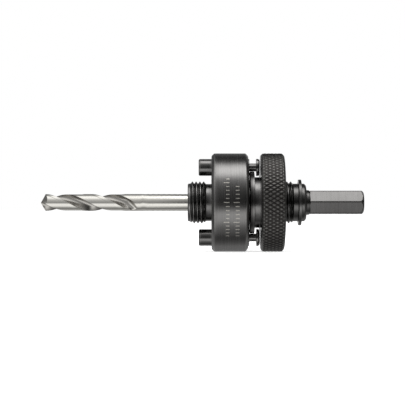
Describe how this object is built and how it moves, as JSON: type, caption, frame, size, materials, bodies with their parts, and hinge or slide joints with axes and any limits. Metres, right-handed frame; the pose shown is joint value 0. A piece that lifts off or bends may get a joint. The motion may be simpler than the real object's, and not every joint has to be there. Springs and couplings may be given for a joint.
{
  "type": "hole saw arbor",
  "caption": "Hole saw arbor with a pilot drill, a threaded boss, drive pins that a knurled nut slides in and out, and a hex shank.",
  "frame": {"origin": "on the arbor's axis, at the front face of the drive flange, in the middle of the circle of the drive pins", "axes": "+X along the arbor from the drill's tip to the hex shank, +Z through the upper drive pin, +Y away from the view of the picture"},
  "size_m": [0.122, 0.037, 0.037],
  "materials": {
    "black_oxide_steel": "black oxide, turned",
    "bright_drill_steel": "ground and polished",
    "black_screw_steel": "black oxide",
    "black_pin_steel": "black oxide, turned",
    "black_knurled_steel": "black oxide, knurled",
    "spring_steel": "black, stamped"
  },
  "bodies": {
    "arbor": {"arbor_body": "black_oxide_steel", "pilot_drill": "bright_drill_steel", "drill_set_screw": "black_screw_steel", "retaining_ring": "spring_steel"},
    "drive_pins": {"drive_pin_upper": "black_pin_steel", "drive_pin_lower": "black_pin_steel"},
    "nut": {"knurled_nut": "black_knurled_steel"}
  },
  "joints": [
    {"name": "pin_slide", "type": "slide", "parent": "arbor", "child": "drive_pins", "axis": [1, 0, 0], "range_m": [-0.00045, 0.0051]},
    {"name": "nut_turn", "type": "hinge", "parent": "drive_pins", "child": "nut", "pos_m": [0.0229, 0, 0], "axis": [1, 0, 0], "range_deg": [-114, 1300]}
  ],
  "couplings": [
    {"joint": "pin_slide", "follows": "nut_turn", "m_per_rad": 0.00022457}
  ]
}
